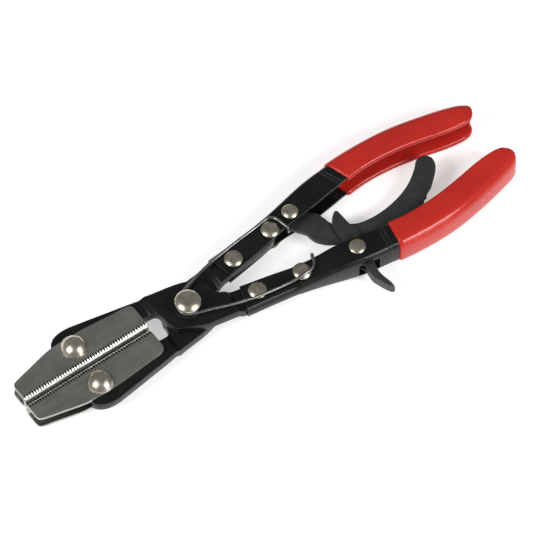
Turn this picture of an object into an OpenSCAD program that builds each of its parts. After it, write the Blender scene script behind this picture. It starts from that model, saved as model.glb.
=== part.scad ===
// Ratchet-locking hose pinch-off pliers with swivelling folded jaw pads.
// Millimetres. The tool lies flat: +X runs from the jaws to the handle ends, +Z is up.
// The upper jaw's arm and the lower handle are one side, the lower jaw's arm and the upper handle the other.

/* [Arms] */
// Thickness of each crossed arm bar
arm_t = 5.8; // [4:0.1:8]
// Radius of the round end of an arm at the main pivot
pivot_end_r = 15.3; // [12:0.1:20]
// Distance of the jaw rivets ahead of the main pivot
jaw_x = 67; // [50:1:90]
// Distance of each jaw rivet from the closed jaws' centre line
jaw_y = 13.5; // [11:0.1:20]
// Radius of the main pivot rivet's shank
pivot_r = 4; // [3:0.1:6]
// Gap between faces that slide on each other
slide_gap = 0.05; // [0.02:0.01:0.1]

/* [Handles] */
// Sheet thickness of the handle channels
sheet_t = 1.6; // [1:0.1:3]
// Half height of a channel where it grips the arm
front_h = 4.6; // [4:0.1:7]
// Half height of a channel inside the grip
rear_h = 9.2; // [7:0.1:12]
// Wall thickness of the dipped vinyl grips
vinyl_t = 1.3; // [0.8:0.1:2.5]
// Radius of the arm rivets' heads
arm_head_r = 5.5; // [4:0.1:8]
// Height of the arm rivets' low domes
arm_head_h = 2; // [1:0.1:3]

/* [Jaw pads] */
// Length of a folded jaw pad
pad_l = 83.8; // [60:0.1:110]
// Sheet thickness of a jaw pad
pad_t = 1.8; // [1.2:0.1:2.5]
// Half height of a folded jaw pad
pad_h = 5; // [4.7:0.1:7]
// Distance from the jaw rivet to the centre of the fold
fold_y = 8.3; // [7:0.1:12]
// Number of notches along each edge of a fold
grooves = 48; // [20:1:70]
// Depth of the notches
groove_d = 1.05; // [0.3:0.05:1.1]
// Angle of the fold that the notches take up near each flat face
notch_deg = 32; // [10:1:60]
// Angle of the fold left smooth between a flat face and its notches
notch_start = 10; // [2:1:25]
// Tilt of both pads on their rivets in the closed pose
pad_tilt = 1.9; // [0:0.1:3]
// Radius of the jaw rivets' domed heads
jaw_head_r = 7.75; // [6:0.05:9]
// Height of the jaw rivets' domed heads
jaw_head_h = 5; // [3:0.1:6]

/* [Pivot and spring] */
// Radius of the main pivot rivet's head
pivot_head_r = 7.55; // [6:0.05:10]
// Wire diameter of the handle spring
wire_d = 1.8; // [1:0.1:2.5]
// Mean radius of the handle spring's coil
coil_r = 6.2; // [5.5:0.1:8]

/* [Ratchet] */
// Thickness of the curved ratchet bar
bar_t = 3; // [2:0.1:4]
// Opening angle of the handles at the stop
open_deg = 30; // [20:1:40]
// Turns of the bar on its pivot for each turn of the handles
bar_ratio = 2.25; // [2:0.05:2.6]
// Depth of the ratchet teeth
tooth_d = 1; // [0.6:0.1:1.6]
// Sheet thickness of the release lever
lever_t = 1.6; // [1:0.1:2]
// Radius of the lever's cross pin that rides on the teeth
catch_r = 1.2; // [0.8:0.1:2]

/* [View] */
// Part to draw

/* [Hidden] */
$fn = 64;
half_t = arm_t / 2;
wire_r = wire_d / 2;
front_rivet = [38.5, -12.2];
rear_rivet = [65.7, -16.2];
// Half heights of the flats that the rear, ratchet and lever rivets' heads sit on
rear_seat = 5.78;
bar_seat = 7.54;
lever_seat = 9;
bar_pivot = [80.9, 18.9];
lever_pivot = [99.3, -21.4];
catch_c = [95, -12.3];
catch_gap = 0.15;

function spin(p, a) = [p[0] * cos(a) - p[1] * sin(a), p[0] * sin(a) + p[1] * cos(a)];
function unit(v) = v / norm(v);
function blend4(a, b, c, d, t) =
  0.5 * (2 * b + (c - a) * t + (2 * a - 5 * b + 4 * c - d) * t * t + (3 * b - a - 3 * c + d) * t * t * t);
// Smooth curve through a few points, n steps for each span
function smooth(p, n = 4) = concat(
  [for (i = [0:len(p) - 2]) for (k = [0:n - 1])
    blend4(p[max(i - 1, 0)], p[i], p[i + 1], p[min(i + 2, len(p) - 1)], k / n)],
  [p[len(p) - 1]]);
// Moves an open curve sideways by d, to the left of its direction
function beside(p, d) = [for (i = [0:len(p) - 1])
  let (v = unit(p[min(i + 1, len(p) - 1)] - p[max(i - 1, 0)])) p[i] + d * [-v[1], v[0]]];

// Handle channel: outer edge from front to tip, then inner edge from tip to front
outer_edge = smooth([[27, 20.4], [45.5, 22.4], [60.5, 24.3], [71, 25.9], [83.3, 28.2], [95, 30.6],
  [105, 32.1], [120, 33.6], [133, 34.1], [147, 33.8], [160.5, 32.5], [179, 29], [190, 26.4], [197.5, 24.1]]);
inner_edge = smooth([[194, 12.8], [188, 13.2], [180, 14.4], [170, 16.5], [160, 18.4], [150, 19.7],
  [140, 20.3], [130, 20.1], [120, 18.9], [109, 17], [89.3, 13.7], [71.5, 12.1], [50.5, 7.8], [31.5, 4.4]]);
tip_edge = smooth([[200.4, 22.2], [201.6, 19.2], [201.2, 16], [199, 13.6]], 3);
side_profile = [[20, front_h], [58, front_h], [62, 5.4], [75, 6.75], [88, 8.5], [104, rear_h], [210, rear_h]];
// The lower handle is longer behind stretch_x, and fuller along its outer edge
stretch_x = 120;
function longer(p) = [for (q = p) [q[0] + 0.05 * max(q[0] - stretch_x, 0), q[1]]];
function fuller(p) = [for (q = p) [q[0], q[1] + sin(180 * min(max((q[0] - 116) / 75, 0), 1))]];
upper_edges = [outer_edge, tip_edge, inner_edge];
lower_edges = [longer(fuller(outer_edge)), longer(tip_edge), longer(inner_edge)];
function outline(edges, grow) = [for (e = edges) each beside(e, grow)];
upper_grip_front = [113.2, 34.2];
upper_grip_slant = 23.2;
lower_grip_front = [119.6, 34.9];
lower_grip_slant = 6.9;

// Release lever outline, from the horn's left side round the horn and down to the finger tab
lever_outline = smooth([[96.3, -10.4], [96.4, -3.8], [97.8, 1.7], [100.3, 5.2], [103.2, 7.3], [104.6, 6.4],
  [105, 3.2], [105.7, -3.3], [107, -8.8], [107.2, -15], [105.6, -21.5], [104.6, -27], [103.8, -31.8],
  [102.5, -37.8], [102.9, -42.8], [104.4, -48.8], [104.5, -51.6], [103.4, -52.2], [101.6, -48.8],
  [99.3, -43.3], [97.9, -38.8], [98.3, -31.8], [95.2, -26], [92.9, -20.5], [92.4, -15], [93.3, -11.6],
  [95, -10.5]], 3);

// Bounds of the closed tool, for the frame's origin
x_low = -jaw_x - 0.5 * pad_l * cos(pad_tilt) - (fold_y + pad_h) * sin(pad_tilt);
x_high = max([for (p = beside(lower_edges[1], vinyl_t)) p[0]]);
y_low = min([for (p = lever_outline) p[1]]);
y_high = max([for (p = beside(outer_edge, vinyl_t)) p[1]]);
centre = [0.5 * (x_low + x_high), 0.5 * (y_low + y_high)];
floor_z = rear_h + vinyl_t;

module place() {
  translate([-centre[0], -centre[1], floor_z]) children();
}

// Low domed head, flat side on z = 0
module dome(r, h) {
  ball = (r * r + h * h) / (2 * h);
  intersection() {
    translate([0, 0, h - ball]) sphere(r = ball);
    cylinder(r = r, h = h + 1);
  }
}

// Round wire swept along a path as one closed tube
module wire(path, r, sides = 12) {
  n = len(path);
  lean = [-0.7, 0, 0.7];
  rows = [for (i = [0:n - 1])
    let (t = unit(path[min(i + 1, n - 1)] - path[max(i - 1, 0)]), s = unit(cross(t, lean)), u = cross(s, t))
      [for (k = [0:sides - 1]) path[i] + r * (cos(360 * k / sides) * s + sin(360 * k / sides) * u)]];
  polyhedron(
    points = [for (row = rows) each row],
    faces = concat(
      [[for (k = [sides - 1:-1:0]) k], [for (k = [0:sides - 1]) (n - 1) * sides + k]],
      [for (i = [0:n - 2]) for (k = [0:sides - 1]) let (a = i * sides + k, b = i * sides + (k + 1) % sides)
        each [[a, b, a + sides], [b, b + sides, a + sides]]]));
}

// Turns of a coil from one angle to another, from height high down to low
function coil(mean_r, from, to, high, low, step = 15) =
  let (n = ceil((to - from) / step))
    [for (k = [0:n]) let (a = from + (to - from) * k / n)
      [mean_r * cos(a), mean_r * sin(a), high + (low - high) * k / n]];

// Crossed arm from the upper jaw to the lower handle, raised by half its thickness at the pivot
arm_outer = smooth([[-78, 18.5], [-76.6, 22.6], [-73.2, 25.4], [-68.5, 26.7], [-63.5, 26.8], [-59, 26.2],
  [-41, 23.2], [-24, 20.3], [-14, 18.1], [0, 16], [8.5, 13.7], [13.2, 10.8], [15.8, 6.6], [17.3, 1],
  [19.2, -1.7], [23, -3.3], [28, -4.6]]);
arm_inner = smooth([[-13, -9], [-15.3, -2.5], [-15.6, 1.5], [-16.8, 5.6], [-19.6, 8], [-24, 8.3],
  [-42, 6.5], [-60, 5], [-64, 4.5], [-68, 4.5], [-73, 6.3], [-76.6, 9.8], [-78, 14]]);
arm_outline = concat(
  arm_outer,
  [[50.5, -7.9], [60.5, -9.7], [64.5, -10.8], [67.6, -13.2], [69.2, -17], [69.2, -23.8], [60.5, -22.6],
    [45.5, -20.7], [27, -18.7], [22, -18.5], [3, -15.8]],
  arm_inner);

module arm_body() {
  step = half_t + slide_gap;
  difference() {
    intersection() {
      translate([0, 0, -20]) linear_extrude(height = 40) polygon(arm_outline);
      rotate([90, 0, 0]) translate([0, 0, -40]) linear_extrude(height = 80)
        polygon([[-90, -half_t], [-21, -half_t], [-16.3, step - half_t], [21.5, step - half_t],
          [26, -half_t], [90, -half_t], [90, half_t], [26, half_t], [21.5, step + half_t],
          [-16.3, step + half_t], [-21, half_t], [-90, half_t]]);
    }
    translate([0, 0, -20]) cylinder(r = pivot_r + slide_gap, h = 40);
    translate([-jaw_x, jaw_y, -20]) cylinder(r = 4, h = 40);
    for (p = [front_rivet, rear_rivet])
      translate([p[0], p[1], -20]) cylinder(r = 3, h = 40);
  }
}

module half_plan(h) {
  rotate([90, 0, 0]) translate([0, 0, -60]) linear_extrude(height = 120)
    polygon(concat([for (p = side_profile) [p[0], p[1] + h]],
      [for (i = [len(side_profile) - 1:-1:0]) [side_profile[i][0], -side_profile[i][1] - h]]));
}

// Hole for a rivet, with flat seats for its heads at half height h
module rivet_seat(p, r, h, head_r) {
  translate([p[0], p[1], -20]) cylinder(r = r, h = 40);
  for (s = [0, 180])
    translate([p[0], p[1], 0]) rotate([s, 0, 0]) translate([0, 0, h]) cylinder(r = head_r + 0.05, h = 5);
}

module handle_space(edges, inset) {
  intersection() {
    translate([0, 0, -30]) linear_extrude(height = 60)
      polygon(concat(beside(edges[0], -sheet_t - inset), [[215, 16], [215, -5], [10, -5], [10, 15]]));
    half_plan(-sheet_t - inset);
  }
}

// Upper handle channel, open towards the other handle
module channel(edges, front, slant) {
  difference() {
    intersection() {
      translate([0, 0, -30]) linear_extrude(height = 60) polygon(outline(edges, 0));
      half_plan(0);
    }
    handle_space(edges, 0);
    rivet_seat([front_rivet[0], -front_rivet[1]], 3, front_h, arm_head_r);
    rivet_seat([rear_rivet[0], -rear_rivet[1]], 3, rear_seat, arm_head_r);
    for (d = [4, 6.2], s = [-1, 1])
      translate([front[0] - d, front[1], s * rear_h]) rotate([0, 0, slant])
        translate([-0.25, -30, -0.25]) cube([0.5, 40, 0.5]);
  }
}

module grip_shape(edges, front, slant) {
  difference() {
    intersection() {
      translate([0, 0, -30]) linear_extrude(height = 60) polygon(outline(edges, vinyl_t));
      half_plan(vinyl_t);
      translate([front[0], front[1], -40]) rotate([0, 0, slant])
        translate([0, -60, 0]) cube([160, 110, 80]);
    }
    handle_space(edges, 0.9);
    difference() {
      intersection() {
        translate([0, 0, -30]) linear_extrude(height = 60) polygon(outline(edges, 0));
        half_plan(0);
      }
      handle_space(edges, 0);
    }
  }
}

// Row of notches cut round a fold between two angles
module notch_row(from, to) {
  pitch = (pad_l - 1) / grooves;
  rotate([0, 0, from]) rotate_extrude(angle = to - from)
    for (i = [0:grooves - 1])
      translate([pad_h - groove_d, 0.5 - 0.5 * pad_l + (i + 0.25) * pitch])
        square([groove_d + 1, 0.5 * pitch]);
}

// Folded pad with its rivet hole on the origin, fold towards -Y
module pad() {
  front = -0.5 * pad_l;
  edge = smooth([[front + 3.5, 0.9], [front + 14, 3.3], [-14, 6.4], [-2, 7.1], [12, 6.6], [28, 5.2],
    [38, 4.5]]);
  difference() {
    union() {
      translate([0, -fold_y, 0]) rotate([0, 90, 0]) rotate([0, 0, 180])
        rotate_extrude(angle = 180) translate([pad_h - pad_t, front]) square([pad_t, pad_l]);
      for (s = [0, 180])
        translate([0, -fold_y, 0]) rotate([s, 0, 0]) mirror([0, s == 180 ? 1 : 0, 0])
          translate([0, 0, pad_h - pad_t]) linear_extrude(height = pad_t)
            translate([0, fold_y]) polygon(concat([[-front, -fold_y], [front, -fold_y], [front, -2.6],
              [front + 1, -0.4]], edge, [[-front - 1.2, 3.1], [-front, 0.4]]));
    }
    translate([0, -fold_y, 0]) rotate([0, 90, 0]) rotate([0, 0, 180]) {
      notch_row(notch_start, notch_start + notch_deg);
      notch_row(180 - notch_start - notch_deg, 180 - notch_start);
    }
    translate([0, 0, -20]) cylinder(r = 4 + slide_gap, h = 40);
  }
}

module jaw_rivet_shape() {
  base = pad_h + slide_gap;
  translate([0, 0, -base]) cylinder(r = 4, h = 2 * base);
  for (s = [0, 180])
    rotate([s, 0, 0]) translate([0, 0, base]) dome(jaw_head_r, jaw_head_h);
}

// Rivet through a channel's two flanges, heads seated at half height h
module channel_rivet(r, h, head_r, head_h) {
  translate([0, 0, -h]) cylinder(r = r, h = 2 * h);
  for (s = [0, 180])
    rotate([s, 0, 0]) translate([0, 0, h]) dome(head_r, head_h);
}

module upper_jaw_arm() {
  color([0.05, 0.05, 0.05]) arm_body();
}

module lower_jaw_arm() {
  color([0.05, 0.05, 0.05]) rotate([180, 0, 0]) arm_body();
}

module upper_handle() {
  color([0.06, 0.06, 0.06]) difference() {
    channel(upper_edges, upper_grip_front, upper_grip_slant);
    rivet_seat(bar_pivot, 2.5, bar_seat, 4.9);
  }
}

module lower_handle() {
  color([0.06, 0.06, 0.06]) difference() {
    rotate([180, 0, 0]) channel(lower_edges, lower_grip_front, lower_grip_slant);
    rivet_seat(lever_pivot, 2.5, lever_seat, 4.9);
    translate([94.5, -40, -7]) cube([13, 15, 11.2]);
  }
}

module upper_grip() {
  color([0.75, 0.09, 0.08]) grip_shape(upper_edges, upper_grip_front, upper_grip_slant);
}

module lower_grip() {
  color([0.75, 0.09, 0.08]) rotate([180, 0, 0])
    grip_shape(lower_edges, lower_grip_front, lower_grip_slant);
}

module upper_jaw_pad() {
  color([0.62, 0.62, 0.6]) translate([-jaw_x, jaw_y, 0]) rotate([0, 0, pad_tilt]) pad();
}

module lower_jaw_pad() {
  color([0.62, 0.62, 0.6]) translate([-jaw_x, -jaw_y, 0]) rotate([0, 0, pad_tilt]) mirror([0, 1, 0]) pad();
}

module upper_jaw_rivet() {
  color([0.8, 0.78, 0.74]) translate([-jaw_x, jaw_y, 0]) jaw_rivet_shape();
}

module lower_jaw_rivet() {
  color([0.8, 0.78, 0.74]) translate([-jaw_x, -jaw_y, 0]) jaw_rivet_shape();
}

module pivot_rivet() {
  low = arm_t + 2 * slide_gap;
  color([0.8, 0.78, 0.74]) union() {
    translate([0, 0, -low]) cylinder(r = pivot_r, h = 2 * low + 5);
    translate([0, 0, arm_t + 1]) cylinder(r = 4.9, h = 4.4);
    translate([0, 0, arm_t + 5.3]) dome(pivot_head_r, 3);
    translate([0, 0, -low]) rotate([180, 0, 0]) dome(pivot_head_r, 3.5);
  }
}

module pivot_washer() {
  color([0.12, 0.12, 0.12]) translate([0, 0, arm_t + 2 * slide_gap]) difference() {
    cylinder(r = 8, h = 0.8);
    translate([0, 0, -1]) cylinder(r = pivot_r + slide_gap, h = 3);
  }
}

module torsion_spring() {
  low = arm_t + 0.95 + wire_r;
  high = low + 1.36 * wire_d + 0.07;
  color([0.08, 0.08, 0.08]) wire(concat(coil(coil_r, 118, 602, high, low),
    smooth([[3.4, -7.9, low], [10, -9.8, 7.6], [20, -12.9, 7.1], [30, -15.3, 6.8], [40, -17.2, 6.6],
      [55, -18.9, 6.7], [62, -19.6, 8], [66, -19.6, 8.5], [70, -19.1, 8.3], [73.2, -17, 8.1], [75, -13, 8.1],
      [75.8, -11, 7.4], [76, -10.3, 5], [76.2, -10.8, 3]], 3)), wire_r);
}

module torsion_spring_upper_leg() {
  color([0.08, 0.08, 0.08]) wire(smooth([[3.2, 8.2, 9.6], [10, 10.9, 8.5], [20, 14.6, 7.1], [30, 17.2, 6],
    [45, 19.9, 5.7], [58, 21.6, 5.8], [66, 22.4, 7.2], [69, 22, 7.5], [71.6, 19.6, 7.7], [73, 15, 8],
    [74, 11.2, 7.5], [74.4, 10.3, 5], [74.6, 10.8, 3]], 3), wire_r);
}

module lower_front_rivet() {
  color([0.7, 0.69, 0.66]) translate([front_rivet[0], front_rivet[1], 0])
    channel_rivet(3, front_h, arm_head_r, arm_head_h);
}

module lower_rear_rivet() {
  color([0.7, 0.69, 0.66]) translate([rear_rivet[0], rear_rivet[1], 0])
    channel_rivet(3, rear_seat, arm_head_r, arm_head_h);
}

module upper_front_rivet() {
  color([0.7, 0.69, 0.66]) translate([front_rivet[0], -front_rivet[1], 0])
    channel_rivet(3, front_h, arm_head_r, arm_head_h);
}

module upper_rear_rivet() {
  color([0.7, 0.69, 0.66]) translate([rear_rivet[0], -rear_rivet[1], 0])
    channel_rivet(3, rear_seat, arm_head_r, arm_head_h);
}

// Place on the bar that the catch's centre reaches when the handles are open by t degrees
function track(t) = bar_pivot + spin(spin(catch_c, -t) - bar_pivot, bar_ratio * t);
function track_side(t) = let (v = unit(track(t + 0.1) - track(t - 0.1))) [-v[1], v[0]];
function bar_edge(t, depth) = track(t) + (catch_r + catch_gap + depth) * track_side(t);

module ratchet_bar() {
  step = 1.35;
  first = 3;
  last = open_deg + 4;
  count = floor((last - first) / step);
  teeth = [for (i = [0:count - 1]) for (k = [0, 1])
    bar_edge(first + (i + 0.25 * k) * step, k * tooth_d)];
  root = smooth([[75.4, 17.2], [76.6, 13], [80, 8.5], [82.6, 5], [83.2, 2], [84.3, -1.3], [86.8, -4.6],
    [90, -7.4], bar_edge(-1, 0)]);
  tail = smooth([bar_edge(last, 0), bar_edge(last + 2.5, 0), bar_edge(last + 5, 0), [168.9, 6],
    [168.4, 8.4], [166.6, 10.6], [163.6, 11.5], [160.2, 10.6], [155.9, 6.3], [149.2, 1.2], [142, -2.4],
    [133.6, -5], [125.2, -6.3], [118, -6.4], [110.5, -5.2], [104, -1.4], [98.4, 2.5], [96.4, 8.3],
    [95, 12.4], [91, 16], [86.5, 20]]);
  color([0.2, 0.2, 0.2]) translate([0, 0, -0.5 * bar_t]) linear_extrude(height = bar_t) difference() {
    union() {
      polygon(concat(root, [bar_edge(0, 0), bar_edge(1, 0), bar_edge(2, 0)], teeth, tail));
      translate(bar_pivot) circle(r = 5.7);
    }
    translate(bar_pivot) circle(r = 2.5 + slide_gap);
  }
}

module ratchet_rivet() {
  color([0.7, 0.69, 0.66]) translate([bar_pivot[0], bar_pivot[1], 0]) channel_rivet(2.5, bar_seat, 4.9, 1.9);
}

module ratchet_spacers() {
  color([0.3, 0.3, 0.3]) for (s = [-1, 1])
    translate([bar_pivot[0], bar_pivot[1], s * 3.45 - 1.85]) difference() {
      cylinder(r = 4.4, h = 3.7);
      translate([0, 0, -1]) cylinder(r = 2.5, h = 6);
    }
}

module release_lever() {
  gap = bar_t / 2 + 0.4;
  color([0.2, 0.2, 0.2]) difference() {
    union() {
      for (s = [-gap - lever_t, gap])
        translate([0, 0, s]) linear_extrude(height = lever_t) polygon(lever_outline);
      // Finger face folded along the tab's front side
      translate([0, 0, -gap - lever_t]) linear_extrude(height = 2 * (gap + lever_t))
        polygon([[98.3, -31.8], [97.9, -38.8], [99.3, -43.3], [101.6, -48.8], [103.4, -52], [104.4, -51],
          [103, -48.2], [100.7, -42.6], [99.4, -38.6], [99.8, -31.8]]);
    }
    translate([lever_pivot[0], lever_pivot[1], -20]) cylinder(r = 2.5 + slide_gap, h = 40);
  }
}

module lever_catch() {
  gap = bar_t / 2 + 0.4;
  color([0.45, 0.45, 0.44]) translate([catch_c[0], catch_c[1], -gap]) cylinder(r = catch_r, h = 2 * gap);
}

module lever_rivet() {
  color([0.7, 0.69, 0.66]) translate([lever_pivot[0], lever_pivot[1], 0])
    channel_rivet(2.5, lever_seat, 4.9, 1.45);
}

module lever_spacers() {
  color([0.3, 0.3, 0.3]) for (s = [-1, 1])
    translate([lever_pivot[0], lever_pivot[1], s * 5.4 - 1.75]) difference() {
      cylinder(r = 3.2, h = 3.5);
      translate([0, 0, -1]) cylinder(r = 2.5, h = 6);
    }
}

module lever_spring() {
  color([0.55, 0.55, 0.53]) translate([lever_pivot[0], lever_pivot[1], 4.2])
    wire(concat([[3.9, -8, 2.4], [4.1, -4, 2.3]], coil(3.8, 0, 1080, 2.2, 0.42, 24),
      [[3.4, 4, 0.42], [2.6, 8, 0.42]]), 0.32, 8);
}

place() upper_jaw_arm();
place() lower_jaw_arm();
place() lower_handle();
place() upper_handle();
place() lower_grip();
place() upper_grip();
place() upper_jaw_pad();
place() lower_jaw_pad();
place() upper_jaw_rivet();
place() lower_jaw_rivet();
place() pivot_rivet();
place() pivot_washer();
place() torsion_spring();
place() torsion_spring_upper_leg();
place() lower_front_rivet();
place() lower_rear_rivet();
place() upper_front_rivet();
place() upper_rear_rivet();
place() ratchet_bar();
place() ratchet_rivet();
place() ratchet_spacers();
place() release_lever();
place() lever_catch();
place() lever_rivet();
place() lever_spring();
place() lever_spacers();
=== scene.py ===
import bpy
import bmesh
import math
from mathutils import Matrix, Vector


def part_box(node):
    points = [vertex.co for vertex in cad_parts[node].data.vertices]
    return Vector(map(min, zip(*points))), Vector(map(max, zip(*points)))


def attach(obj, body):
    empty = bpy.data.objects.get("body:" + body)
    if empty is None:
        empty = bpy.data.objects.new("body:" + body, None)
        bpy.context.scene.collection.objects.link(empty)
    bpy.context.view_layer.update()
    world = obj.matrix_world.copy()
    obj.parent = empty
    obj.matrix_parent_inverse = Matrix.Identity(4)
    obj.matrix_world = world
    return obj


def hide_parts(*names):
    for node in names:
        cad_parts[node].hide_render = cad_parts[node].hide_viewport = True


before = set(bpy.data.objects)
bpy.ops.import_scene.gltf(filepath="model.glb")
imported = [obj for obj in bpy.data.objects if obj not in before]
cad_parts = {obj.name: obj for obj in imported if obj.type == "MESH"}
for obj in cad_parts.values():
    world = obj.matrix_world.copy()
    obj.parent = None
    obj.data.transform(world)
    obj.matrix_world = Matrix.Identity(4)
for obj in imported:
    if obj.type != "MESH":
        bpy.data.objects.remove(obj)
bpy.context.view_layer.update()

# The main pivot's axis and the tool's middle plane, from the frame
low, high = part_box("pivot_rivet")
CX, CY = 500 * (low[0] + high[0]), 500 * (low[1] + high[1])
low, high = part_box("upper_jaw_rivet")
MID = 500 * (low[2] + high[2])


def place(x, y, z=0.0):
    """A point in millimetres from the main pivot and the middle plane, in the row frame in metres."""
    return Vector(((x + CX) / 1000, (y + CY) / 1000, (z + MID) / 1000))


def smooth(p, n=6):
    """Smooth curve through a few points, n steps for each span."""
    out = []
    for i in range(len(p) - 1):
        a, b, c, d = (Vector(p[j]) for j in (max(i - 1, 0), i, i + 1, min(i + 2, len(p) - 1)))
        for k in range(n):
            t = k / n
            out.append(0.5 * (2 * b + (c - a) * t + (2 * a - 5 * b + 4 * c - d) * t ** 2
                              + (3 * b - a - 3 * c + d) * t ** 3))
    out.append(Vector(p[-1]))
    return out


def beside(p, d):
    """The same curve moved sideways by d."""
    out = []
    for i in range(len(p)):
        v = (p[min(i + 1, len(p) - 1)] - p[max(i - 1, 0)]).normalized()
        out.append(p[i] + d * Vector((-v.y, v.x)))
    return out


def spin(p, deg):
    """A flat point turned about the origin."""
    a = math.radians(deg)
    return Vector((p[0] * math.cos(a) - p[1] * math.sin(a), p[0] * math.sin(a) + p[1] * math.cos(a)))


def level(table, x):
    """Straight-line lookup in a table of (x, value) pairs."""
    if x <= table[0][0]:
        return table[0][1]
    for (xa, a), (xb, b) in zip(table, table[1:]):
        if x <= xb:
            return a + (b - a) * (x - xa) / max(xb - xa, 1e-9)
    return table[-1][1]


# ---------------------------------------------------------------- materials

def new_material(name):
    """A material with its node tree and its shader."""
    m = bpy.data.materials.new(name)
    m.use_nodes = True
    nt = m.node_tree
    return m, nt, nt.nodes["Principled BSDF"]


def add(nt, kind, **values):
    """A new node with its inputs or settings filled in by name."""
    n = nt.nodes.new(kind)
    for k, v in values.items():
        if k in n.inputs.keys():
            n.inputs[k].default_value = v
        else:
            setattr(n, k, v)
    return n


def noise(nt, scale, detail=4.0, rough=0.55, stretch=(1, 1, 1), turn=0.0):
    """Noise in the piece's own coordinates, in cycles for each metre."""
    coord = add(nt, "ShaderNodeTexCoord")
    mapping = add(nt, "ShaderNodeMapping")
    mapping.inputs["Scale"].default_value = stretch
    mapping.inputs["Rotation"].default_value = (0, 0, turn)
    n = add(nt, "ShaderNodeTexNoise", Scale=scale, Detail=detail, Roughness=rough)
    nt.links.new(coord.outputs["Object"], mapping.inputs["Vector"])
    nt.links.new(mapping.outputs["Vector"], n.inputs["Vector"])
    return n.outputs["Fac"]


def ramp(nt, fac, stops):
    """A colour between the two stops."""
    r = add(nt, "ShaderNodeValToRGB")
    for el, (pos, col) in zip(r.color_ramp.elements, stops):
        el.position = pos
        el.color = (*col, 1)
    nt.links.new(fac, r.inputs["Fac"])
    return r.outputs["Color"]


def span(nt, fac, lo, hi):
    """A noise stretched to run from lo to hi."""
    r = add(nt, "ShaderNodeMapRange")
    r.inputs["To Min"].default_value = lo
    r.inputs["To Max"].default_value = hi
    r.inputs["From Min"].default_value = 0.25
    r.inputs["From Max"].default_value = 0.75
    nt.links.new(fac, r.inputs["Value"])
    return r.outputs["Result"]


def mix(nt, fac, a, b):
    """Colour a where fac is 0 and colour b where it is 1."""
    n = add(nt, "ShaderNodeMix", data_type="RGBA")
    nt.links.new(fac, n.inputs[0])
    for sock, v in ((n.inputs[6], a), (n.inputs[7], b)):
        if isinstance(v, bpy.types.NodeSocket):
            nt.links.new(v, sock)
        else:
            sock.default_value = (*v, 1)
    return n.outputs[2]


def multiply(nt, a, b):
    """The product of two colours."""
    n = add(nt, "ShaderNodeMix", data_type="RGBA", blend_type="MULTIPLY")
    n.inputs[0].default_value = 1.0
    nt.links.new(a, n.inputs[6])
    nt.links.new(b, n.inputs[7])
    return n.outputs[2]


def bump(nt, bsdf, layers):
    """layers: (height socket, strength, distance in metres), stacked."""
    last = None
    for h, strength, dist in layers:
        b = add(nt, "ShaderNodeBump", Strength=strength, Distance=dist)
        nt.links.new(h, b.inputs["Height"])
        if last:
            nt.links.new(last, b.inputs["Normal"])
        last = b.outputs["Normal"]
    nt.links.new(last, bsdf.inputs["Normal"])


def edge_wear_and_highlight(nt, radius, amount):
    """Up to amount within a few tenths of a millimetre of an edge, broken up by noise: partly wear, partly a
    painted highlight on the edges.
    """
    soft = add(nt, "ShaderNodeBevel", samples=6)
    soft.inputs["Radius"].default_value = radius
    geo = add(nt, "ShaderNodeNewGeometry")
    dot = add(nt, "ShaderNodeVectorMath", operation="DOT_PRODUCT")
    nt.links.new(soft.outputs["Normal"], dot.inputs[0])
    nt.links.new(geo.outputs["Normal"], dot.inputs[1])
    r = add(nt, "ShaderNodeMapRange")
    r.inputs["From Min"].default_value = 0.965
    r.inputs["From Max"].default_value = 0.88
    r.inputs["To Max"].default_value = amount
    nt.links.new(dot.outputs["Value"], r.inputs["Value"])
    m = add(nt, "ShaderNodeMath", operation="MULTIPLY")
    nt.links.new(r.outputs["Result"], m.inputs[0])
    nt.links.new(span(nt, noise(nt, 160, 4, 0.6), 0.4, 1.0), m.inputs[1])
    return m.outputs["Value"]


def painted_recess_shade(nt):
    """Painted shade: 0 deep in a narrow recess of the piece itself, 1 elsewhere."""
    ao = add(nt, "ShaderNodeAmbientOcclusion", samples=8)
    ao.only_local = True
    ao.inputs["Distance"].default_value = 0.0012
    r = add(nt, "ShaderNodeMapRange")
    r.inputs["From Min"].default_value = 0.5
    r.inputs["From Max"].default_value = 0.85
    r.inputs["To Min"].default_value = 0.02
    nt.links.new(ao.outputs["AO"], r.inputs["Value"])
    return r.outputs["Result"]


def black_material():
    """Thin satin black finish, grey at the edges: partly wear, partly a painted highlight."""
    m, nt, b = new_material("black_finish")
    tone = ramp(nt, noise(nt, 60, 3), [(0.3, (0.004, 0.005, 0.004)), (0.7, (0.009, 0.01, 0.009))])
    # The grey at the edges is partly wear, partly a painted highlight
    nt.links.new(mix(nt, edge_wear_and_highlight(nt, 0.0004, 0.8), tone, (0.16, 0.16, 0.155)), b.inputs["Base Color"])
    nt.links.new(span(nt, noise(nt, 180, 5, 0.6), 0.2, 0.32), b.inputs["Roughness"])
    b.inputs["Specular IOR Level"].default_value = 0.24
    bump(nt, b, [(noise(nt, 700, 3), 0.025, 0.0002), (noise(nt, 120, 2), 0.04, 0.0006)])
    return m


def vinyl_material():
    """Glossy dipped vinyl."""
    m, nt, b = new_material("red_vinyl")
    tone = ramp(nt, noise(nt, 45, 3), [(0.3, (0.44, 0.02, 0.014)), (0.7, (0.52, 0.027, 0.018))])
    nt.links.new(tone, b.inputs["Base Color"])
    nt.links.new(span(nt, noise(nt, 90, 2, 0.5), 0.15, 0.21), b.inputs["Roughness"])
    b.inputs["Specular IOR Level"].default_value = 0.24
    b.inputs["Coat Weight"].default_value = 0.1
    b.inputs["Coat Roughness"].default_value = 0.06
    b.inputs["Subsurface Weight"].default_value = 0.06
    b.inputs["Subsurface Radius"].default_value = (0.002, 0.0004, 0.0004)
    bump(nt, b, [(noise(nt, 38, 2), 0.06, 0.0008), (noise(nt, 420, 2), 0.02, 0.0001)])
    return m


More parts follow.
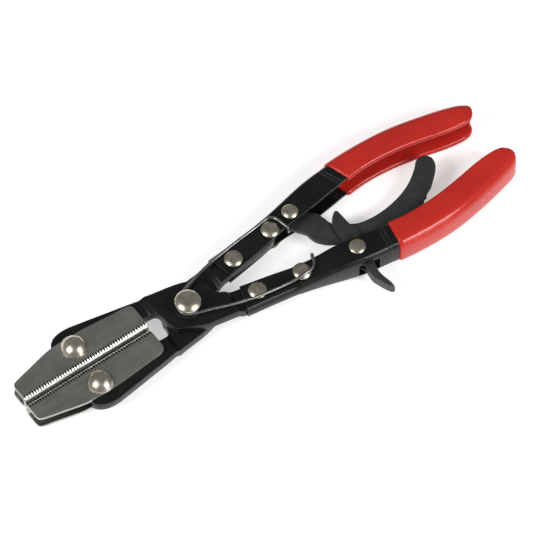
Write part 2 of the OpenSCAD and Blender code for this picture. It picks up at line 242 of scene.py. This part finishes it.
def pad_material():
    """Bare sheet steel, brushed along the pad, with painted shade inside its notches and edges paler partly
    from wear, partly from a painted highlight.
    """
    m, nt, b = new_material("pad_steel")
    fine = noise(nt, 900, 5, 0.7, stretch=(0.16, 1.4, 1.4), turn=0.12)
    tone = ramp(nt, fine, [(0.3, (0.42, 0.42, 0.395)), (0.7, (0.52, 0.52, 0.49))])
    blotch = ramp(nt, noise(nt, 90, 6, 0.7), [(0.35, (0.8, 0.8, 0.79)), (0.65, (1, 1, 1))])
    # Paler at the edges: partly wear, partly a painted highlight
    worn_and_highlit = mix(nt, edge_wear_and_highlight(nt, 0.0004, 0.9), multiply(nt, tone, blotch), (0.85, 0.85, 0.84))
    # Painted shade: near black deep in the notches and other narrow recesses
    nt.links.new(mix(nt, painted_recess_shade(nt), (0.02, 0.02, 0.02), worn_and_highlit), b.inputs["Base Color"])
    b.inputs["Metallic"].default_value = 1.0
    nt.links.new(span(nt, fine, 0.26, 0.38), b.inputs["Roughness"])
    b.inputs["Anisotropic"].default_value = 0.4
    bump(nt, b, [(fine, 0.12, 0.0001), (noise(nt, 220, 6, 0.7), 0.08, 0.0002)])
    return m


def rivet_material():
    """Warm plated steel with fine dents."""
    m, nt, b = new_material("plated_rivet")
    tone = ramp(nt, noise(nt, 260, 5, 0.65), [(0.3, (0.4, 0.37, 0.3)), (0.7, (0.68, 0.64, 0.53))])
    nt.links.new(tone, b.inputs["Base Color"])
    b.inputs["Metallic"].default_value = 1.0
    nt.links.new(span(nt, noise(nt, 600, 5, 0.7), 0.2, 0.36), b.inputs["Roughness"])
    bump(nt, b, [(noise(nt, 300, 5, 0.6), 0.16, 0.0003), (noise(nt, 1500, 2), 0.05, 0.0001)])
    return m


def dark_steel_material():
    """Matt dark steel of the bar and the lever."""
    m, nt, b = new_material("dark_steel")
    tone = ramp(nt, noise(nt, 150, 5, 0.6), [(0.3, (0.026, 0.03, 0.029)), (0.7, (0.046, 0.05, 0.048))])
    # The grey at the edges is partly wear, partly a painted highlight
    nt.links.new(mix(nt, edge_wear_and_highlight(nt, 0.0003, 0.6), tone, (0.14, 0.14, 0.14)), b.inputs["Base Color"])
    nt.links.new(span(nt, noise(nt, 320, 5, 0.65), 0.4, 0.58), b.inputs["Roughness"])
    b.inputs["Metallic"].default_value = 0.35
    bump(nt, b, [(noise(nt, 1300, 3), 0.2, 0.00015), (noise(nt, 160, 3), 0.08, 0.0004)])
    return m


def wire_material():
    """Grey spring wire."""
    m, nt, b = new_material("spring_wire")
    tone = ramp(nt, noise(nt, 300, 4), [(0.3, (0.15, 0.15, 0.145)), (0.7, (0.26, 0.26, 0.25))])
    nt.links.new(tone, b.inputs["Base Color"])
    nt.links.new(span(nt, noise(nt, 500, 4), 0.24, 0.36), b.inputs["Roughness"])
    b.inputs["Metallic"].default_value = 0.9
    bump(nt, b, [(noise(nt, 1500, 3), 0.15, 0.0001)])
    return m


MATS = {
    "black_finish": black_material(),
    "red_vinyl": vinyl_material(),
    "pad_steel": pad_material(),
    "plated_rivet": rivet_material(),
    "dark_steel": dark_steel_material(),
    "spring_wire": wire_material(),
}


# ---------------------------------------------------------------- mesh helpers

def apply_modifiers(ob):
    """Makes what the modifiers show the object's own mesh."""
    deps = bpy.context.evaluated_depsgraph_get()
    ob.data = bpy.data.meshes.new_from_object(ob.evaluated_get(deps))
    ob.modifiers.clear()


def finish_piece(name, bm, body, slot, nodes, sharp=34, bevel=0.0, cut=None):
    """Puts a mesh in the scene for these nodes, with its material, body and slot. cut is a box taken out."""
    bmesh.ops.recalc_face_normals(bm, faces=bm.faces)
    me = bpy.data.meshes.new(name)
    bm.to_mesh(me)
    bm.free()
    ob = bpy.data.objects.new(name, me)
    bpy.context.scene.collection.objects.link(ob)
    if cut:
        lo, hi = cut
        bpy.ops.mesh.primitive_cube_add(size=1, location=(lo + hi) / 2)
        tool = bpy.context.object
        tool.scale = hi - lo
        mod = ob.modifiers.new("slot", "BOOLEAN")
        mod.object = tool
        mod.operation = "DIFFERENCE"
        mod.solver = "EXACT"
        bpy.context.view_layer.update()
        apply_modifiers(ob)
        bpy.data.objects.remove(tool)
    if bevel:
        mod = ob.modifiers.new("edges", "BEVEL")
        mod.width = bevel / 1000
        mod.segments = 3
        mod.limit_method = "ANGLE"
        mod.angle_limit = math.radians(50)
        apply_modifiers(ob)
    ob.data.shade_smooth()
    ob.data.set_sharp_from_angle(angle=math.radians(sharp))
    ob.data.name = name
    ob.data.materials.clear()
    ob.data.materials.append(MATS[slot])
    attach(ob, body)
    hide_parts(*nodes)


def side(flip):
    """Turns the upper side's shape into the lower side's: half a turn about the tool's long axis."""
    return (lambda x, y, z=0.0: place(x, -y, -z)) if flip else place


def loft(bm, rings):
    """Skin over rings with the same number of points, closed at both ends."""
    rows = [[bm.verts.new(p) for p in ring] for ring in rings]
    n = len(rows[0])
    for a, b in zip(rows, rows[1:]):
        for i in range(n):
            j = (i + 1) % n
            bm.faces.new((a[i], a[j], b[j], b[i]))
    bm.faces.new(rows[0])
    bm.faces.new(list(reversed(rows[-1])))


def slice_mesh(bm, point, normal):
    """Adds a row of edges where this plane crosses the mesh."""
    geom = bm.verts[:] + bm.edges[:] + bm.faces[:]
    bmesh.ops.bisect_plane(bm, geom=geom, plane_co=point, plane_no=normal)


def plate(name, outline, z0, z1, body, slot, nodes, bevel, lift=None, slices=(), at=place, extra=(),
          taper=None):
    """A flat bar of that outline, its corners broken, with its height bent along x by lift, and rounded off
    in height between the two y of taper. extra lists more outlines with their own heights."""
    bm = bmesh.new()
    for shape, a, b in [(outline, z0, z1), *extra]:
        face = bm.faces.new([bm.verts.new((p[0], p[1], a)) for p in shape])
        got = bmesh.ops.extrude_face_region(bm, geom=[face])
        top = [g for g in got["geom"] if isinstance(g, bmesh.types.BMVert)]
        bmesh.ops.translate(bm, verts=top, vec=(0, 0, b - a))
    for x in slices:
        slice_mesh(bm, (x, 0, 0), (1, 0, 0))
    if taper:
        for k in range(9):
            y = taper[0] + (taper[1] - taper[0]) * math.sin(math.pi / 2 * k / 9)
            slice_mesh(bm, (0, y, 0), (0, 1, 0))
        for v in bm.verts:
            f = min(max((v.co.y - taper[0]) / (taper[1] - taper[0]), 0), 1)
            v.co.z *= 0.25 + 0.75 * math.sqrt(1 - f * f)
    for v in bm.verts:
        v.co = at(v.co.x, v.co.y, v.co.z + (lift(v.co.x) if lift else 0.0))
    finish_piece(name, bm, body, slot, nodes, bevel=bevel)


def circle(seg=72):
    """Points of a unit circle."""
    return [(math.cos(2 * math.pi * k / seg), math.sin(2 * math.pi * k / seg)) for k in range(seg)]


# A spun head's outline as (share of its radius, share of its height), from its rim to the axis
SPUN_HEAD = [(0.94, 0.0), (1.0, 0.08), (0.99, 0.22), (0.94, 0.38), (0.85, 0.56), (0.73, 0.74), (0.62, 0.87),
             (0.53, 0.94), (0.45, 0.965), (0.3, 0.98), (0.12, 0.99), (0.004, 0.99)]


def dome_profile(r, h, base, up, spun, rim=0.35, steps=12):
    """Half of a head: its underside rim and its dome, or its flat-topped cone if spun, out to the axis."""
    if spun:
        return [(r * q, base + up * h * z) for q, z in SPUN_HEAD]
    ball = (r * r + h * h) / (2 * h)
    out = [(r - 0.3, base), (r, base + up * 0.18), (r - 0.02, base + up * rim)]
    start = math.asin(min((r - 0.12) / ball, 1.0))
    for k in range(1, steps + 1):
        a = start * (1 - k / steps)
        out.append((max(ball * math.sin(a), 0.02), base + up * (h - ball + ball * math.cos(a))))
    return [(q, z) for q, z in out if up * (z - base) <= h + 1e-6]


def rivet(name, centre, shank, seat, r, h, body, nodes, h_low=None, seat_low=None, spun=True):
    """Two heads of radius r and height h on a shank of that radius, turned as one piece. They sit at a
    height seat above and below the middle plane, unless the lower one has its own h_low and seat_low."""
    under = -(seat_low or seat)
    top = dome_profile(r, h, seat, 1, spun)
    bottom = dome_profile(r, h_low or h, under, -1, spun)
    profile = list(reversed(bottom)) + [(shank, under), (shank, seat)] + top
    bm = bmesh.new()
    loft(bm, [[place(centre[0] + q * c, centre[1] + q * s, z) for c, s in circle()] for q, z in profile])
    finish_piece(name, bm, body, "plated_rivet", nodes)


def tube(name, path, r, body, slot, nodes, seg=14):
    """Round wire along points in millimetres, with rounded ends."""
    pts = [Vector(p) for p in path]
    tangents = [(pts[min(i + 1, len(pts) - 1)] - pts[max(i - 1, 0)]).normalized() for i in range(len(pts))]
    side_dir = tangents[0].cross(Vector((0, 0, 1))).normalized()
    rings = []
    for i, (p, t) in enumerate(zip(pts, tangents)):
        side_dir = (side_dir - t * side_dir.dot(t)).normalized()
        up = t.cross(side_dir)
        steps = [(0.0, 1.0)]
        if i == 0:
            steps = [(-0.9, 0.3), (-0.6, 0.75), (0.0, 1.0)]
        if i == len(pts) - 1:
            steps = [(0.0, 1.0), (0.6, 0.75), (0.9, 0.3)]
        for shift, scale in steps:
            mid = p + t * shift * r
            rings.append([place(*(mid + r * scale * (side_dir * c + up * s))) for c, s in circle(seg)])
    bm = bmesh.new()
    loft(bm, rings)
    finish_piece(name, bm, body, slot, nodes, sharp=60)


# ---------------------------------------------------------------- crossed arms

ROOT, SWING = "lower_handle_side", "upper_handle_side"

# The upper arm's outline: round its front and along its outer edge, its rear end, back along its inner edge
ARM_OUTER = [(-78, 18.5), (-76.6, 22.6), (-73.2, 25.4), (-68.5, 26.7), (-63.5, 26.8), (-59, 26.2),
             (-41, 23.2), (-24, 20.3), (-14, 18.1), (0, 16), (8.5, 13.7), (13.2, 10.8), (15.8, 6.6),
             (17.3, 1), (19.2, -1.7), (23, -3.3), (28, -4.6)]
ARM_REAR = [(50.5, -7.9), (60.5, -9.7), (64.5, -10.8), (67.6, -13.2), (69.2, -17), (69.2, -23.8),
            (60.5, -22.6), (45.5, -20.7), (27, -18.7), (22, -18.5), (3, -15.8)]
ARM_INNER = [(-13, -9), (-15.3, -2.5), (-15.6, 1.5), (-16.8, 5.6), (-19.6, 8), (-24, 8.3), (-42, 6.5),
             (-60, 5), (-64, 4.5), (-68, 4.5), (-73, 6.3), (-76.6, 9.8), (-78, 14)]
ARM = smooth(ARM_OUTER) + ARM_REAR + smooth(ARM_INNER)
HALF = 2.9

# Each arm steps up by this much to pass over or under the other, between its joggles
STEP = HALF + 0.05
JOG_FRONT, JOG_FRONT_LEN = -21, 4.7
JOG_REAR, JOG_REAR_LEN = 26, 4.5
JOG_SLICES = 8


def ease(f):
    """0 to 1 with a soft start and end."""
    f = min(max(f, 0), 1)
    return 3 * f * f - 2 * f ** 3


def joggle(x):
    """How far an arm is lifted at x."""
    return STEP * ease((x - JOG_FRONT) / JOG_FRONT_LEN) * ease((JOG_REAR - x) / JOG_REAR_LEN)


ARM_SLICES = [JOG_FRONT + JOG_FRONT_LEN * k / JOG_SLICES for k in range(JOG_SLICES + 1)]
ARM_SLICES += [JOG_REAR - JOG_REAR_LEN * (1 - k / JOG_SLICES) for k in range(JOG_SLICES + 1)]
for flip, body, node in ((False, ROOT, "upper_jaw_arm"), (True, SWING, "lower_jaw_arm")):
    plate(node + "_bar", ARM, -HALF, HALF, body, "black_finish", (node,), bevel=0.55, lift=joggle,
          slices=ARM_SLICES, at=side(flip))

# ---------------------------------------------------------------- handle channels and grips

# The channel's outer and inner edges from above, and its half height along x
OUTER = smooth([(27, 20.4), (45.5, 22.4), (60.5, 24.3), (71, 25.9), (83.3, 28.2), (95, 30.6),
                (105, 32.1), (120, 33.6), (133, 34.1), (147, 33.8), (160.5, 32.5), (179, 29),
                (190, 26.4), (197.5, 24.1)])
INNER = smooth([(31.5, 4.4), (50.5, 7.8), (71.5, 12.1), (89.3, 13.7), (109, 17), (120, 18.9),
                (130, 20.1), (140, 20.3), (150, 19.7), (160, 18.4), (170, 16.5), (180, 14.4),
                (188, 13.2), (194, 12.8)])
FULL_H = 9.2
HEIGHT = [(p.x, p.y) for p in smooth([
    (20, 4.6), (57, 4.6), (61, 5.1), (66, 5.75), (75, 6.75), (88, 8.42), (97, 9.02), (105, FULL_H),
    (150, FULL_H), (210, FULL_H)])]
SHEET = 1.6
SHEET_BEND = 3.4
SHEET_LIP = 0.45

# The vinyl's thickness outside the channel, and the grip's own section
VINYL = 1.3
GRIP_H = FULL_H + VINYL
GRIP_WALL = 3.8
GRIP_BEND = 5.2
GRIP_LIP = 1.85


def section(o, i, h, t, bend, lip, seg=5):
    """Channel section between its outer edge o and its inner edge i, half height h, wall t, with the radii
    of its outer bends and of its lips. Each point is a flat point and a height."""
    w = (i - o).length
    d = (i - o) / w
    t = min(t, 0.42 * w)
    bend = min(bend, 0.45 * w)
    corners = [(w, h), (0, h), (0, -h), (w, -h), (w, t - h), (t, t - h), (t, h - t), (w, h - t)]
    radii = [lip, bend, bend, lip, lip, max(bend - t, 0.5), max(bend - t, 0.5), lip]
    out = []
    for k, c in enumerate(corners):
        p = Vector(c)
        a = Vector(corners[k - 1]) - p
        b = Vector(corners[(k + 1) % 8]) - p
        r = min(radii[k], 0.48 * a.length, 0.48 * b.length)
        a.normalize()
        b.normalize()
        mid = p + (a + b) * r
        for s in range(seg + 1):
            q = s / seg * math.pi / 2
            v = mid - b * r * math.cos(q) - a * r * math.sin(q)
            out.append((o + d * v.x, v.y))
    return out


def placed(at, points):
    """A section's points in the row frame."""
    return [at(p.x, p.y, z) for p, z in points]


# The lower handle is longer behind STRETCH_X, and fuller along its outer edge over the FULL_LEN after FULL_X
STRETCH_X = 120
STRETCH = 0.05
FULL_X = 116
FULL_LEN = 75


def longer(at):
    """The placing function at, with what is behind STRETCH_X stretched."""
    return lambda x, y, z=0.0: at(x + STRETCH * max(x - STRETCH_X, 0), y, z)


def fuller(p, amount):
    """An outer-edge point moved out, by amount at the middle of the fuller length."""
    return Vector((p.x, p.y + amount * math.sin(math.pi * min(max((p.x - FULL_X) / FULL_LEN, 0), 1))))


def curve_at(curve, x):
    """The point of a curve at that x."""
    return Vector((x, level([(p.x, p.y) for p in curve], x)))


# Where each grip's front end crosses the channel's outer edge and its inner edge
FRONT = {"upper": (113.2, 119.7), "lower": (119.6, 121.7)}

# Two scribed lines ahead of each grip: how far ahead, their half width, their floor's half width and depth.
# The channel's evenly spaced sections stop at EVEN_END ahead of the grip.
LINES_AHEAD = (6.2, 4.0)
LINE_W = 0.42
LINE_FLOOR = 0.14
LINE_D = 0.3
EVEN_END = 6.8
EVEN_STEPS = 60


def channel_rings(at, front, full):
    """Sections of a handle channel from its front end to inside the grip."""
    front_o, front_i = front
    start_o, start_i = OUTER[0].x, INNER[0].x
    length = front_o - EVEN_END - start_o
    stops = [(start_o + length * k / EVEN_STEPS, 0) for k in range(EVEN_STEPS + 1)]
    for ahead in LINES_AHEAD:
        m = front_o - ahead
        stops += [(m - LINE_W, 0), (m - LINE_FLOOR, LINE_D), (m + LINE_FLOOR, LINE_D), (m + LINE_W, 0)]
    stops += [(front_o + d, 0) for d in (0.5, 4, 9, 15, 20)]
    skew = front_i - front_o - (start_i - start_o)
    rings = []
    for ox, dip in stops:
        ix = ox + start_i - start_o + skew * min((ox - start_o) / length, 1.0)
        o, i = fuller(curve_at(OUTER, ox), full), curve_at(INNER, ix)
        h = level(HEIGHT, 0.5 * (ox + ix)) - dip
        rings.append(placed(at, section(o, i, h, SHEET, SHEET_BEND, SHEET_LIP)))
    return rings


# The grip's edges, and the round end that follows them behind GRIP_END
GROWN_O = beside(OUTER, VINYL)
GROWN_I = beside(INNER, -VINYL)
GRIP_END = (195.9, 193.3)
GRIP_STEPS = 48
TIP_O = smooth([(197.0, 25.5), (199.8, 24.2), (201.8, 22.2), (202.6, 19.9)], 3)
TIP_I = smooth([(194.4, 11.6), (198.0, 12.2), (200.9, 14.3), (202.4, 17.2)], 3)
TIP_DROP = 0.9

# The rounding of the grip's front rim, as (distance from the front, distance in from the full section)
FRONT_RIM = ((0.0, 0.85), (0.12, 0.55), (0.4, 0.22), (0.9, 0.0))


def grip_rings(at, front, full):
    """Sections of a grip from its front rim to its rounded end."""
    front_o, front_i = front
    rings = []
    for d, off in FRONT_RIM:
        o, i = fuller(curve_at(GROWN_O, front_o + 0.1 + d), full), curve_at(GROWN_I, front_i + d)
        v = (i - o).normalized()
        rings.append(placed(at, section(o + v * off, i - v * off * 0.6, GRIP_H - off,
                                        GRIP_WALL - 1.6 * off, GRIP_BEND, GRIP_LIP)))
    start_o, start_i = front_o + 1.1, front_i + 0.9
    for k in range(1, GRIP_STEPS + 1):
        ox = start_o + (GRIP_END[0] - start_o) * k / GRIP_STEPS
        ix = start_i + (GRIP_END[1] - start_i) * k / GRIP_STEPS
        o, i = fuller(curve_at(GROWN_O, ox), full), curve_at(GROWN_I, ix)
        rings.append(placed(at, section(o, i, GRIP_H, GRIP_WALL, GRIP_BEND, GRIP_LIP)))
    for k, (o, i) in enumerate(zip(TIP_O, TIP_I)):
        h = GRIP_H - TIP_DROP * (k / (len(TIP_O) - 1)) ** 2
        rings.append(placed(at, section(o, i, h, GRIP_WALL, GRIP_BEND, GRIP_LIP)))
    return rings


# Opening in the lower channel's outer wall for the lever's tab
LEVER_SLOT = (place(94.6, -40, -6.9), place(107.4, -26, 4.1))

for flip, body, which, full in ((False, SWING, "upper", 0), (True, ROOT, "lower", 1)):
    at = longer(side(flip)) if flip else side(flip)
    bm = bmesh.new()
    loft(bm, channel_rings(at, FRONT[which], full))
    finish_piece(which + "_handle_channel", bm, body, "black_finish", (which + "_handle",),
                 cut=LEVER_SLOT if flip else None)
    bm = bmesh.new()
    loft(bm, grip_rings(at, FRONT[which], full))
    finish_piece(which + "_grip_vinyl", bm, body, "red_vinyl", (which + "_grip",), sharp=50)

# ---------------------------------------------------------------- jaw pads

# Each pad's length, sheet, half height, fold's centre line and turn in degrees, and its rivet's place
PAD_L = 83.8
PAD_T = 1.8
PAD_H = 5.0
FOLD_Y = 8.3
TILT = 1.9
JAW_X, JAW_Y = -67, 13.5

# The pad's outer edge from above, from its rivet
PAD_EDGE = [(p.x, p.y) for p in smooth([
    (-41.9, -2.6), (-41.3, -0.6), (-38.4, 0.9), (-27.9, 3.3), (-14, 6.4), (-2, 7.1), (12, 6.6), (28, 5.2),
    (38, 4.5), (40.7, 3.1), (41.9, 0.4)])]

# One notch along the pad, as (share of the pitch, share of the depth)
NOTCHES = 48
NOTCH_D = 1.05
NOTCH = ((0.08, 0), (0.25, 0), (0.29, 0.97), (0.34, 1), (0.66, 1), (0.71, 0.97), (0.75, 0), (0.92, 0))

# The notches lie between these angles of the fold, above and below. Their ends slope over twice NOTCH_WALL.
NOTCH_LOW, NOTCH_HIGH = 48, 80
NOTCH_WALL = 0.3
QUARTER = list(range(0, NOTCH_LOW, 4)) + [NOTCH_LOW - NOTCH_WALL, NOTCH_LOW + NOTCH_WALL]
QUARTER += list(range(NOTCH_LOW + 4, NOTCH_HIGH, 4)) + [NOTCH_HIGH - NOTCH_WALL, NOTCH_HIGH + NOTCH_WALL]
QUARTER += list(range(NOTCH_HIGH + 4, 90, 4))
FOLD_STEPS = [-d for d in reversed(QUARTER[1:])] + QUARTER


def on_fold(r, deg):
    """A point of the fold, 0 degrees being its foremost line."""
    a = math.radians(deg)
    return (-FOLD_Y - r * math.cos(a), r * math.sin(a))


def pad_rings(at):
    """Sections across a pad, one after another along it, with the notches cut in its fold."""
    half = 0.5 * PAD_L
    pitch = (PAD_L - 1) / NOTCHES
    stops = [(-half, 0.35, 0), (-half + 0.2, 0.08, 0), (-half + 0.45, 0, 0)]
    for i in range(NOTCHES):
        stops += [(0.5 - half + (i + f) * pitch, 0, d * NOTCH_D) for f, d in NOTCH]
    stops += [(half - 0.45, 0, 0), (half - 0.2, 0.08, 0), (half, 0.35, 0)]
    inner = PAD_H - PAD_T
    rings = []
    for x, trim, dip in stops:
        edge = level(PAD_EDGE, x)
        top = PAD_H - trim
        lip = [(edge - 0.9, top), (edge - 0.35, top), (edge - 0.1, top - 0.1), (edge, top - 0.35),
               (edge, inner + 0.3), (edge - 0.3, inner)]
        ring = lip + [on_fold(inner, 90 - 180 * k / 16) for k in range(17)]
        ring += [(y, -z) for y, z in reversed(lip)]
        ring.append((0.5 - FOLD_Y, -top))
        ring += [on_fold(top - (dip if NOTCH_LOW < abs(deg) < NOTCH_HIGH else 0), deg) for deg in FOLD_STEPS]
        ring.append((0.5 - FOLD_Y, top))
        rings.append([at(x, y, z) for y, z in ring])
    return rings


for which, s, body in (("upper", 1, "upper_jaw_pad"), ("lower", -1, "lower_jaw_pad")):
    def at(x, y, z, s=s):
        p = spin((x, s * y), TILT)
        return place(p.x + JAW_X, p.y + s * JAW_Y, z)
    bm = bmesh.new()
    loft(bm, pad_rings(at))
    finish_piece(which + "_pad_sheet", bm, body, "pad_steel", (which + "_jaw_pad",), sharp=28)

# ---------------------------------------------------------------- rivets and handle spring

BAR_PIN = (80.9, 18.9)
LEVER_PIN = (99.3, -21.4)

for which, s, body in (("upper", 1, ROOT), ("lower", -1, SWING)):
    rivet(which + "_jaw_rivet_dome", (JAW_X, s * JAW_Y), 4, 5.05, 7.75, 5, body, (which + "_jaw_rivet",),
          spun=False)
rivet("pivot_rivet_dome", (0, 0), 4.9, 11.1, 7.55, 3, ROOT, ("pivot_rivet",), h_low=3.5, seat_low=5.9)
for which, s, body in (("lower", -1, ROOT), ("upper", 1, SWING)):
    rivet(which + "_front_rivet_dome", (38.5, s * 12.2), 3, 4.6, 5.5, 2, body, (which + "_front_rivet",))
    rivet(which + "_rear_rivet_dome", (65.7, s * 16.2), 3, 5.78, 5.5, 2, body, (which + "_rear_rivet",))
rivet("ratchet_rivet_dome", BAR_PIN, 2.5, 7.54, 4.9, 1.9, SWING, ("ratchet_rivet",))
rivet("lever_rivet_dome", LEVER_PIN, 2.5, 9, 4.9, 1.45, ROOT, ("lever_rivet",))

# The coil winds down round the pivot from HIGH to LOW, and its lower end runs on into the lower leg.
# WASHER is the washer with its gaps, on top of the upper of the two crossed arms.
WIRE = 0.9
COIL_R = 6.2
WASHER = 0.95
LOW = 2 * HALF + WASHER + WIRE
HIGH = LOW + 2.52
COIL_START = 111
COIL_TURN = 491
COIL_STEPS = 96
coil = []
for k in range(COIL_STEPS + 1):
    f = k / COIL_STEPS
    p = spin((COIL_R, 0), COIL_START + COIL_TURN * f)
    coil.append((p.x, p.y, HIGH + (LOW - HIGH) * f))
LOWER_LEG = smooth([coil[-1], (3.4, -7.9, LOW), (10, -9.8, 7.6), (20, -12.9, 7.1), (30, -15.3, 6.8),
                    (40, -17.2, 6.6), (55, -18.9, 6.7), (62, -19.6, 8), (66, -19.6, 8.5), (70, -19.1, 8.3),
                    (73.2, -17, 8.1), (75, -13, 8.1), (75.8, -11, 7.4), (76, -10.3, 5), (76.2, -10.8, 3)], 5)
tube("spring_coil", coil[:-1] + LOWER_LEG, WIRE, ROOT, "spring_wire", ("torsion_spring",))
UPPER_LEG = smooth([(-2.2, 5.8, HIGH), (3.2, 8.2, 9.6), (10, 10.9, 8.5), (20, 14.6, 7.1), (30, 17.2, 6),
                    (45, 19.9, 5.7), (58, 21.6, 5.8), (66, 22.4, 7.2), (69, 22, 7.5), (71.6, 19.6, 7.7),
                    (73, 15, 8), (74, 11.2, 7.5), (74.4, 10.3, 5), (74.6, 10.8, 3)], 5)
tube("spring_upper_leg", UPPER_LEG, WIRE, SWING, "spring_wire", ("torsion_spring_upper_leg",))

# ---------------------------------------------------------------- ratchet bar and release lever

# The bar turns RATIO times as fast as the tool opens. Its toothed edge is the path of the lever's cross pin,
# at CATCH when closed, GAP clear of the pin.
PIVOT = Vector(BAR_PIN)
CATCH = (95, -12.3)
CATCH_R = 1.2
RATIO = 2.25
GAP = 0.15

# The teeth run between these two angles of opening, one to each PITCH degrees
TEETH_FIRST, TEETH_LAST = 3, 34
PITCH = 1.35
TOOTH = 1.0


def track(t):
    """Where the cross pin is, seen from the bar, when the tool is t degrees open."""
    return PIVOT + spin(spin(CATCH, -t) - PIVOT, RATIO * t)


def bar_edge(t, depth):
    """The toothed edge at that opening, or a point that much deeper in the bar."""
    v = (track(t + 0.1) - track(t - 0.1)).normalized()
    return track(t) + (CATCH_R + GAP + depth) * Vector((-v.y, v.x))


bar = smooth([(76.2, 15.4), (77.4, 12), (80, 8.5), (82.6, 5), (83.2, 2), (84.3, -1.3), (86.8, -4.6),
              (90, -7.4), bar_edge(-1, 0)])
bar += [bar_edge(t, 0) for t in (0, 1, 2)]
for i in range(int((TEETH_LAST - TEETH_FIRST) / PITCH)):
    bar += [bar_edge(TEETH_FIRST + i * PITCH, 0), bar_edge(TEETH_FIRST + (i + 0.25) * PITCH, TOOTH)]
bar += smooth([bar_edge(TEETH_LAST, 0), bar_edge(TEETH_LAST + 2.5, 0), bar_edge(TEETH_LAST + 5, 0),
               (168.9, 6), (168.4, 8.4), (166.6, 10.6), (163.6, 11.5), (160.2, 10.6), (155.9, 6.3),
               (149.2, 1.2), (142, -2.4), (133.6, -5), (125.2, -6.3), (118, -6.4), (110.5, -5.2),
               (104, -1.4), (98.4, 2.5), (96.4, 8.3), (95, 12.4), (91, 16), (86.5, 20)])
bar += [PIVOT + spin((5.6, 0), a) for a in range(20, 211, 10)]
plate("ratchet_bar_plate", bar, -1.5, 1.5, "ratchet_bar", "dark_steel", ("ratchet_bar",), bevel=0.3)

# The lever's two plates share one outline, and the fold joins them along the tab's front edge
LEVER = smooth([(96.3, -10.4), (96.4, -3.8), (97.8, 1.7), (100.3, 5.2), (103.2, 7.3), (104.6, 6.4),
                (105, 3.2), (105.7, -3.3), (107, -8.8), (107.2, -15), (105.6, -21.5), (104.6, -27),
                (103.8, -31.8), (102.5, -37.8), (102.9, -42.8), (104.4, -48.8), (104.5, -51.6),
                (103.4, -52.2), (101.6, -48.8), (99.3, -43.3), (97.9, -38.8), (98.3, -31.8), (95.2, -26),
                (92.9, -20.5), (92.4, -15), (93.3, -11.6)])
FOLD = smooth([(98.25, -31.8), (97.85, -38.8), (99.25, -43.3), (101.55, -48.8), (103.4, -52.15)])
fold_strip = FOLD + list(reversed(beside(FOLD, 1.5)))
plate("release_lever_sheet", LEVER, 1.9, 3.5, "release_lever", "dark_steel", ("release_lever",), bevel=0.35,
      extra=[(LEVER, -3.5, -1.9), (fold_strip, -3.45, 3.45)], taper=(-46.5, -52.3))

# Small coil that returns the lever, on the lever's rivet: two straight ends and three turns between them
SMALL_WIRE = 0.4
SMALL_R = 3.8
small = smooth([(103.5, -29.4, 4.9), (103.9, -25.4, 4.7)], 5)[:-1]
for k in range(73):
    p = spin((SMALL_R, 0), -1080 * k / 72)
    small.append((LEVER_PIN[0] + p.x, LEVER_PIN[1] + p.y, 4.6 + 1.6 * k / 72))
small += smooth([(103.1, -17, 6.1), (103.6, -13.4, 6.0)], 5)[1:]
tube("lever_spring_coil", small, SMALL_WIRE, ROOT, "spring_wire", ("lever_spring",), seg=10)

# Small turned pieces keep their CAD shape
for node, slot in (("pivot_washer", "black_finish"), ("ratchet_spacers", "dark_steel"),
                   ("lever_spacers", "dark_steel"), ("lever_catch", "dark_steel")):
    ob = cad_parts[node]
    ob.data.materials.clear()
    ob.data.materials.append(MATS[slot])

# ---------------------------------------------------------------- floor, light and camera

bm = bmesh.new()
bmesh.ops.create_grid(bm, x_segments=8, y_segments=8, size=3.0)
me = bpy.data.meshes.new("floor")
bm.to_mesh(me)
bm.free()
floor = bpy.data.objects.new("floor", me)
floor.location = (0, 0, -0.0005)
bpy.context.scene.collection.objects.link(floor)
m, nt, b = new_material("floor_paper")
paper = ramp(nt, noise(nt, 6, 2), [(0.3, (0.8, 0.8, 0.8)), (0.7, (0.84, 0.84, 0.84))])
nt.links.new(paper, b.inputs["Base Color"])
b.inputs["Roughness"].default_value = 0.9
b.inputs["Emission Color"].default_value = (1, 1, 1, 1)
b.inputs["Emission Strength"].default_value = 0.45
me.materials.append(m)

world = bpy.data.worlds.new("studio")
world.use_nodes = True
world.node_tree.nodes["Background"].inputs["Color"].default_value = (1, 1, 1, 1)
world.node_tree.nodes["Background"].inputs["Strength"].default_value = 0.24
bpy.context.scene.world = world
bpy.context.scene.view_settings.view_transform = "Standard"


AIM = Vector((0, 0, 0.01))


def softbox(name, where, size, size_y, energy):
    """An oblong light that faces AIM."""
    light = bpy.data.lights.new(name, "AREA")
    light.shape = "RECTANGLE"
    light.size = size
    light.size_y = size_y
    light.energy = energy
    ob = bpy.data.objects.new(name, light)
    ob.location = where
    ob.rotation_euler = (AIM - Vector(where)).to_track_quat("-Z", "Y").to_euler()
    bpy.context.scene.collection.objects.link(ob)


# Two boxes, each 40 degrees off the camera's line, and a weak low one for the folds and bends
softbox("left", (-0.86, 0.04, 0.76), 0.42, 0.42, 8.5)
softbox("right", (0.37, -0.78, 0.76), 0.42, 0.42, 8.0)
softbox("low", (0.34, -1.12, 0.36), 0.5, 0.34, 1.8)

# A long lens from far off, at this azimuth, elevation and distance in metres
AZ, EL = -33.5, 59.5
DIST = 8.272
az, el = math.radians(AZ), math.radians(EL)
back = Vector((math.sin(az) * math.cos(el), -math.cos(az) * math.cos(el), math.sin(el)))
target = place(50.7, -2.85, 6.1)
cam = bpy.data.cameras.new("camera")
cam.lens = 1000
cam.sensor_width = 36
cam.clip_end = 20
eye = bpy.data.objects.new("camera", cam)
eye.location = target + DIST * back
eye.rotation_euler = (-back).to_track_quat("-Z", "Y").to_euler()
bpy.context.scene.collection.objects.link(eye)
bpy.context.scene.camera = eye
